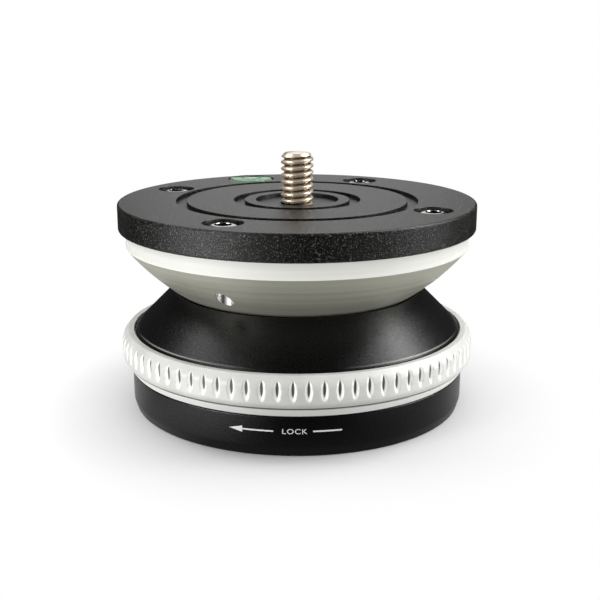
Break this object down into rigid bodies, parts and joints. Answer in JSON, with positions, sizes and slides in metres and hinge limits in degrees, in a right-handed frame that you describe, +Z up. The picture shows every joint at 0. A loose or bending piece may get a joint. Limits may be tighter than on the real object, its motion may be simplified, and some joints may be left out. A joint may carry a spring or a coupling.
{
  "type": "leveling head",
  "caption": "Tripod leveling head: round plate with camera screw and bubble level on a ball bowl, clamped by a ring-driven collar.",
  "frame": {"origin": "middle of the foot's underside, on the surface it stands on", "axes": "+Z up along the camera screw; -Y is the front, where the lock arrow is printed"},
  "size_m": [0.07, 0.07, 0.0495],
  "materials": {
    "black_paint": "matte",
    "grainy_black": "fine grain, semi-matte",
    "satin_aluminium": "satin, turned",
    "bright_steel": "bright, warm nickel tone",
    "dark_steel": "blackened",
    "bronze": "plain",
    "slip_plastic": "matte",
    "rubber": "matte",
    "clear_vial": "clear",
    "level_green": "clear green liquid"
  },
  "bodies": {
    "base": {"base_body": "black_paint", "tripod_bush": "bright_steel", "base_pad": "rubber", "thrust_washer": "slip_plastic", "retainer_ring": "satin_aluminium", "retainer_screw_1": "dark_steel", "retainer_screw_2": "dark_steel", "retainer_screw_3": "dark_steel", "retainer_screw_4": "dark_steel", "guide_pin_1": "bright_steel", "guide_pin_2": "bright_steel", "guide_pin_3": "bright_steel", "clamp_dish": "dark_steel", "spring_washer": "bright_steel", "clamp_bolt": "dark_steel"},
    "lock_ring": {"lock_ring": "satin_aluminium"},
    "collar": {"clamp_collar": "black_paint", "seat_liner": "slip_plastic"},
    "turning_washer": {"dish_washer": "bronze"},
    "tilting_washer": {"ball_liner": "bronze"},
    "head": {"ball_shell": "satin_aluminium", "top_plate": "grainy_black", "camera_stud": "bright_steel", "plate_screw_1": "dark_steel", "plate_screw_2": "dark_steel", "plate_screw_3": "dark_steel", "plate_screw_4": "dark_steel", "level_backing": "slip_plastic", "level_liquid": "level_green", "level_vial": "clear_vial"}
  },
  "joints": [
    {"name": "ring_turn", "type": "hinge", "parent": "base", "child": "lock_ring", "pos_m": [0, 0, 0.0115], "axis": [0, 0, 1], "range_deg": [0, 120]},
    {"name": "collar_lift", "type": "slide", "parent": "base", "child": "collar", "axis": [0, 0, 1], "range_m": [-0.0005, 0]},
    {"name": "tilt_direction", "type": "hinge", "parent": "base", "child": "turning_washer", "pos_m": [0, 0, 0.059], "axis": [0, 0, 1], "continuous": true},
    {"name": "tilt", "type": "hinge", "parent": "turning_washer", "child": "tilting_washer", "pos_m": [0, 0, 0.059], "axis": [1, 0, 0], "range_deg": [-15, 15]},
    {"name": "pan", "type": "hinge", "parent": "tilting_washer", "child": "head", "pos_m": [0, 0, 0.059], "axis": [0, 0, 1], "continuous": true}
  ],
  "couplings": [
    {"joint": "ring_turn", "follows": "collar_lift", "rad_per_m": -4188.8}
  ]
}
